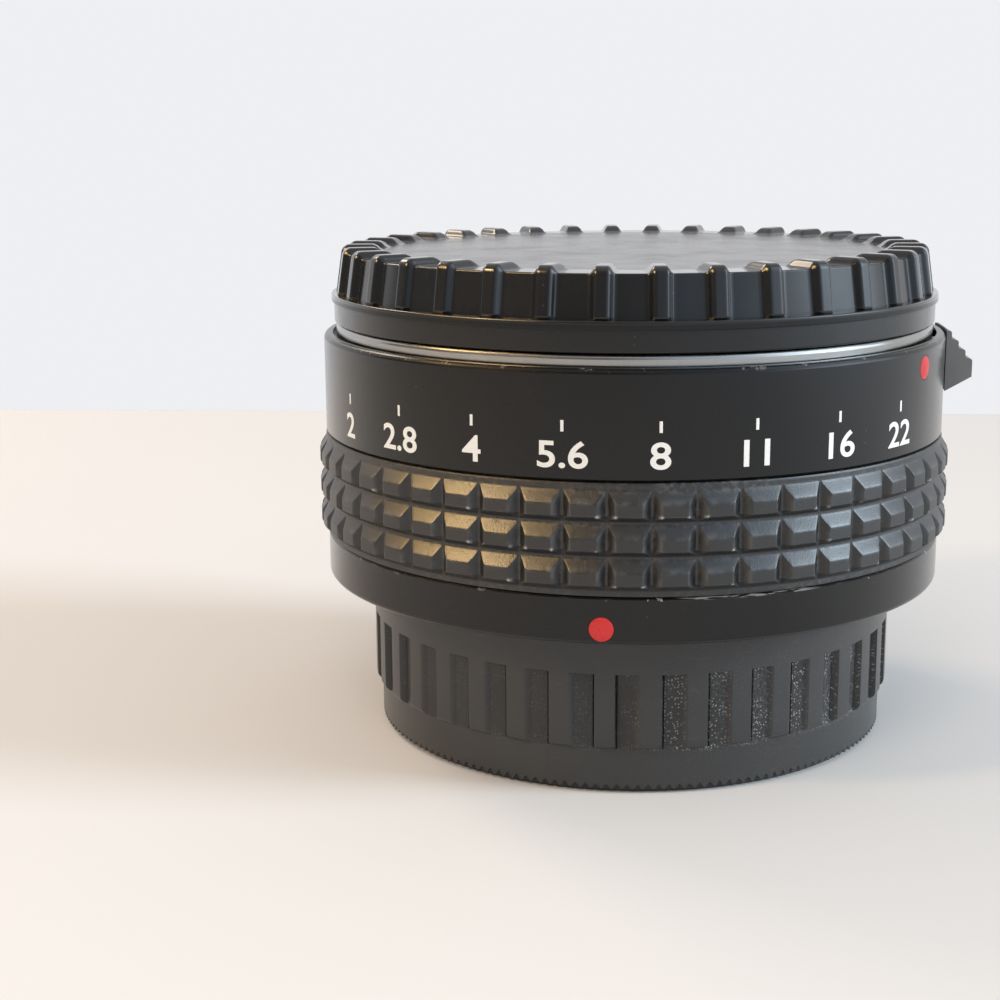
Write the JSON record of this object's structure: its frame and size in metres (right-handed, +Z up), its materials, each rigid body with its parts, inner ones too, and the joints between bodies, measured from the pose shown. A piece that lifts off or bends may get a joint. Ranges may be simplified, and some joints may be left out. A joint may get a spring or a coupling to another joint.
{
  "type": "camera teleconverter",
  "caption": "Round lens teleconverter with a studded rubber grip, male and female bayonets, a sprung release lever, coupling rings and lift-off end caps.",
  "frame": {"origin": "centre of the rear cap's foot, on the surface that the object stands on", "axes": "+Z up the optical axis to the lens side, -Y towards the viewer of the picture, +X towards the release lever"},
  "size_m": [0.0657, 0.0638, 0.049],
  "materials": {
    "cap_matte": "matt black moulded plastic",
    "cap_gloss": "glossy black moulded plastic with a matt disc",
    "barrel_black": "satin black anodised",
    "grip_rubber": "dull black rubber with dust in the grooves",
    "mount_chrome": "bright turned metal",
    "steel": "bright steel",
    "spring_steel": "spring steel",
    "inner_black": "matt black anodised, against reflections",
    "glass": "coated optical glass",
    "index_red": "glossy red bead",
    "lever_black": "satin black",
    "brass": "turned brass",
    "ring_plastic": "matt black plastic"
  },
  "bodies": {
    "rear_cap": {"rear_cap": "cap_matte"},
    "barrel": {"rear_barrel": "barrel_black", "front_barrel": "barrel_black", "rubber_grip": "grip_rubber", "front_mount_ring": "mount_chrome", "rear_bayonet": "mount_chrome", "front_mount_screws": "steel", "rear_mount_screws": "steel", "bayonet_springs": "spring_steel", "throat_liner": "inner_black", "lens_cell": "inner_black", "lens_cell_screws": "steel", "front_element": "glass", "doublet_front": "glass", "doublet_rear": "glass", "rear_element": "glass", "front_spacer": "inner_black", "rear_spacer": "inner_black", "front_retainer": "inner_black", "rear_retainer": "inner_black", "front_index_dot": "index_red", "rear_index_dot": "index_red", "barrel_set_screws": "steel", "release_bracket": "steel", "release_bracket_screws": "steel", "release_spring": "spring_steel", "stopdown_spring": "spring_steel", "simulator_spring": "spring_steel", "ring_circlip": "spring_steel"},
    "front_cap": {"front_cap": "cap_gloss"},
    "release": {"release_lever": "lever_black", "release_carriage": "brass", "lever_screws": "steel", "lock_pin": "steel"},
    "stopdown": {"stopdown_ring": "steel"},
    "simulator": {"simulator_ring": "ring_plastic"}
  },
  "joints": [
    {"name": "rear_cap_lift", "type": "slide", "parent": "rear_cap", "child": "barrel", "axis": [0, 0, 1], "range_m": [0, 0.03]},
    {"name": "front_cap_lift", "type": "slide", "parent": "barrel", "child": "front_cap", "axis": [0, 0, 1], "range_m": [0, 0.03]},
    {"name": "release_press", "type": "slide", "parent": "barrel", "child": "release", "axis": [0, 0, -1], "range_m": [0, 0.0022], "stiffness_N_per_m": 800, "springref_m": -0.001, "deforming": ["release_spring"]},
    {"name": "stopdown_turn", "type": "hinge", "parent": "barrel", "child": "stopdown", "pos_m": [0, 0, 0.026], "axis": [0, 0, 1], "range_deg": [0, 16], "stiffness_Nm_per_rad": 0.004, "springref_deg": -5.73},
    {"name": "simulator_turn", "type": "hinge", "parent": "barrel", "child": "simulator", "pos_m": [0, 0, 0.028], "axis": [0, 0, 1], "range_deg": [0, 48], "stiffness_Nm_per_rad": 0.002, "springref_deg": -5.73}
  ]
}
